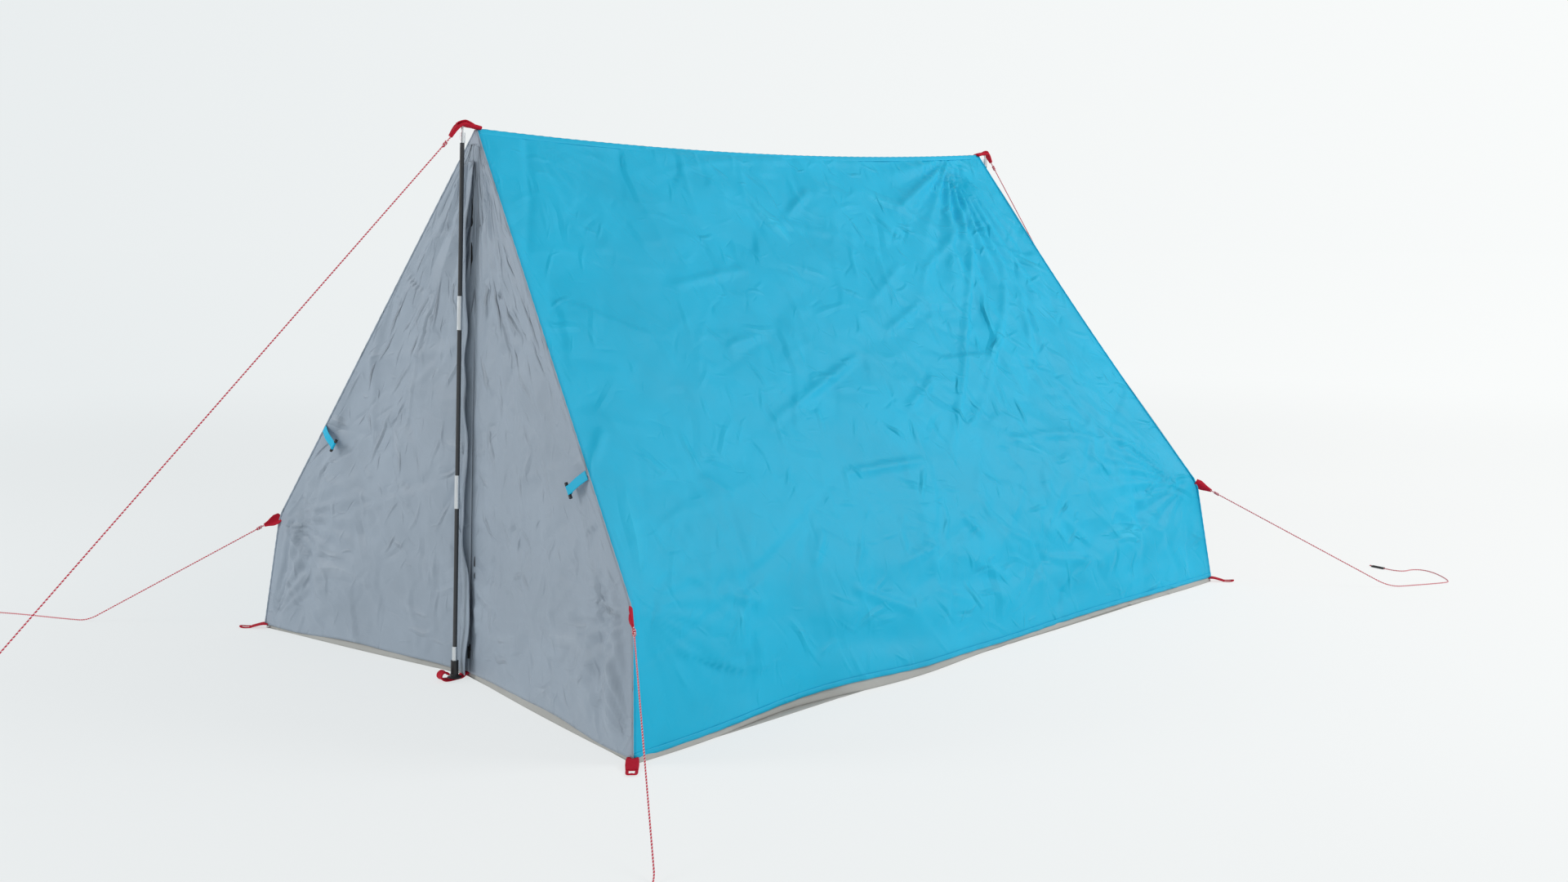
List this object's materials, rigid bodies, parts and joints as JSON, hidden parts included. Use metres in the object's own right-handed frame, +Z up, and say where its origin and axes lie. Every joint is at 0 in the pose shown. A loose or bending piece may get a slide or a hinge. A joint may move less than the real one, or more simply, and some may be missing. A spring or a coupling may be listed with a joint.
{
  "type": "a-frame ridge tent",
  "caption": "A-frame ridge tent: two upright poles carry a ridge between sloping roof panels, low side walls, zipped end doors, sewn floor and guy lines.",
  "frame": {"origin": "on the floor, under the middle of the ridge", "axes": "+Z up, +Y along the ridge from the door end to the rear, +X to the right when facing the rear from the door"},
  "size_m": [2.5482, 4.1754, 1.1885],
  "materials": {
    "blue_cloth": "satin coated polyester",
    "grey_cloth": "satin uncoated polyester",
    "floor_cloth": "matt woven polyethylene",
    "red_webbing": "woven polyester webbing",
    "guy_cord": "braided cord, red with pale flecks",
    "black_plastic": "moulded",
    "zip_black": "coil zip",
    "zip_metal": "black lacquered",
    "fibreglass": "pultruded tube",
    "pole_alloy": "bright",
    "elastic": "braided"
  },
  "bodies": {
    "tent": {"corner_tabs": "red_webbing", "foot_cup_front": "black_plastic", "foot_cup_rear": "black_plastic", "foot_tab_front": "red_webbing", "foot_tab_rear": "red_webbing", "groundsheet": "floor_cloth", "groundsheet_rim": "floor_cloth", "gusset_left": "grey_cloth", "gusset_right": "grey_cloth", "guy_end_knots": "guy_cord", "guy_left_front": "guy_cord", "guy_left_rear": "guy_cord", "guy_ridge_front": "guy_cord", "guy_ridge_rear": "guy_cord", "guy_right_front": "guy_cord", "guy_right_rear": "guy_cord", "knee_tabs": "red_webbing", "rear_wall_left": "grey_cloth", "rear_wall_right": "grey_cloth", "ridge_seam": "blue_cloth", "ridge_tab_front": "red_webbing", "ridge_tab_rear": "red_webbing", "roof_left": "blue_cloth", "roof_right": "blue_cloth", "wall_left": "blue_cloth", "wall_right": "blue_cloth"},
    "door_left": {"door_left": "grey_cloth", "storm_flap": "grey_cloth", "zip_left": "zip_black"},
    "door_right": {"door_right": "grey_cloth", "zip_right": "zip_black"},
    "zip_slider": {"zip_slider": "zip_metal"},
    "zip_pull": {"zip_pull": "zip_metal"},
    "tie_strap_left": {"tie_strap_left": "blue_cloth"},
    "tie_strap_right": {"tie_strap_right": "blue_cloth"},
    "toggle_left": {"toggle_left": "black_plastic"},
    "toggle_right": {"toggle_right": "black_plastic"},
    "pole_front": {"pole_front_ferrules": "pole_alloy", "pole_front_lower": "fibreglass", "pole_front_middle": "fibreglass", "pole_front_sleeve": "pole_alloy", "pole_front_tip": "pole_alloy", "pole_front_upper": "fibreglass", "shock_cord_front": "elastic"},
    "pole_rear": {"pole_rear_ferrules": "pole_alloy", "pole_rear_lower": "fibreglass", "pole_rear_middle": "fibreglass", "pole_rear_sleeve": "pole_alloy", "pole_rear_tip": "pole_alloy", "pole_rear_upper": "fibreglass", "shock_cord_rear": "elastic"},
    "runner_left_front": {"runner_left_front": "black_plastic"},
    "runner_left_rear": {"runner_left_rear": "black_plastic"},
    "runner_ridge_front": {"runner_ridge_front": "black_plastic"},
    "runner_ridge_rear": {"runner_ridge_rear": "black_plastic"},
    "runner_right_front": {"runner_right_front": "black_plastic"},
    "runner_right_rear": {"runner_right_rear": "black_plastic"}
  },
  "joints": [
    {"name": "door_left_swing", "type": "hinge", "parent": "tent", "child": "door_left", "pos_m": [-0.70008, -1.04151, -0.00003], "axis": [0.5063, 0.123, 0.8535], "range_deg": [0, 80]},
    {"name": "door_right_swing", "type": "hinge", "parent": "tent", "child": "door_right", "pos_m": [0.70008, -1.04151, -0.00003], "axis": [0.5061, -0.1258, -0.8532], "range_deg": [0, 80]},
    {"name": "zip_slide", "type": "slide", "parent": "door_right", "child": "zip_slider", "axis": [0, 0.0508, 0.9987], "range_m": [0, 0.98]},
    {"name": "zip_pull_swing", "type": "hinge", "parent": "zip_slider", "child": "zip_pull", "pos_m": [0.0147, -0.93095, 0.06671], "axis": [-0.987, 0.1603, -0.0081], "range_deg": [0, 150]},
    {"name": "tie_strap_left_swing", "type": "hinge", "parent": "tent", "child": "tie_strap_left", "pos_m": [-0.49457, -0.97427, 0.50756], "axis": [-0.5877, -0.1257, -0.7993], "range_deg": [0, 150]},
    {"name": "toggle_left_spin", "type": "hinge", "parent": "tie_strap_left", "child": "toggle_left", "pos_m": [-0.44288, -0.97981, 0.4704], "axis": [-0.5877, -0.1257, -0.7993], "continuous": true},
    {"name": "tie_strap_right_swing", "type": "hinge", "parent": "tent", "child": "tie_strap_right", "pos_m": [0.49455, -0.97427, 0.50755], "axis": [-0.5877, 0.1257, 0.7993], "range_deg": [0, 150]},
    {"name": "toggle_right_spin", "type": "hinge", "parent": "tie_strap_right", "child": "toggle_right", "pos_m": [0.44286, -0.97942, 0.47035], "axis": [0.5877, -0.1257, -0.7993], "continuous": true},
    {"name": "pole_front_swivel", "type": "hinge", "parent": "tent", "child": "pole_front", "pos_m": [0, -0.96, 0], "axis": [0, 0.0508, 0.9987], "continuous": true},
    {"name": "pole_rear_swivel", "type": "hinge", "parent": "tent", "child": "pole_rear", "pos_m": [0, 0.96, 0], "axis": [0, -0.0508, 0.9987], "continuous": true},
    {"name": "runner_left_front_slide", "type": "slide", "parent": "tent", "child": "runner_left_front", "axis": [-0.8305, 0.557, 0], "range_m": [0, 0.024]},
    {"name": "runner_left_rear_slide", "type": "slide", "parent": "tent", "child": "runner_left_rear", "axis": [-0.9725, 0.233, 0], "range_m": [0, 0.024]},
    {"name": "runner_ridge_front_slide", "type": "slide", "parent": "tent", "child": "runner_ridge_front", "axis": [0.1315, -0.9913, 0], "range_m": [0, 0.024]},
    {"name": "runner_ridge_rear_slide", "type": "slide", "parent": "tent", "child": "runner_ridge_rear", "axis": [0.1544, 0.988, 0], "range_m": [0, 0.024]},
    {"name": "runner_right_front_slide", "type": "slide", "parent": "tent", "child": "runner_right_front", "axis": [0.9249, 0.3802, 0], "range_m": [0, 0.024]},
    {"name": "runner_right_rear_slide", "type": "slide", "parent": "tent", "child": "runner_right_rear", "axis": [0.9829, -0.1843, 0], "range_m": [0, 0.024]}
  ]
}
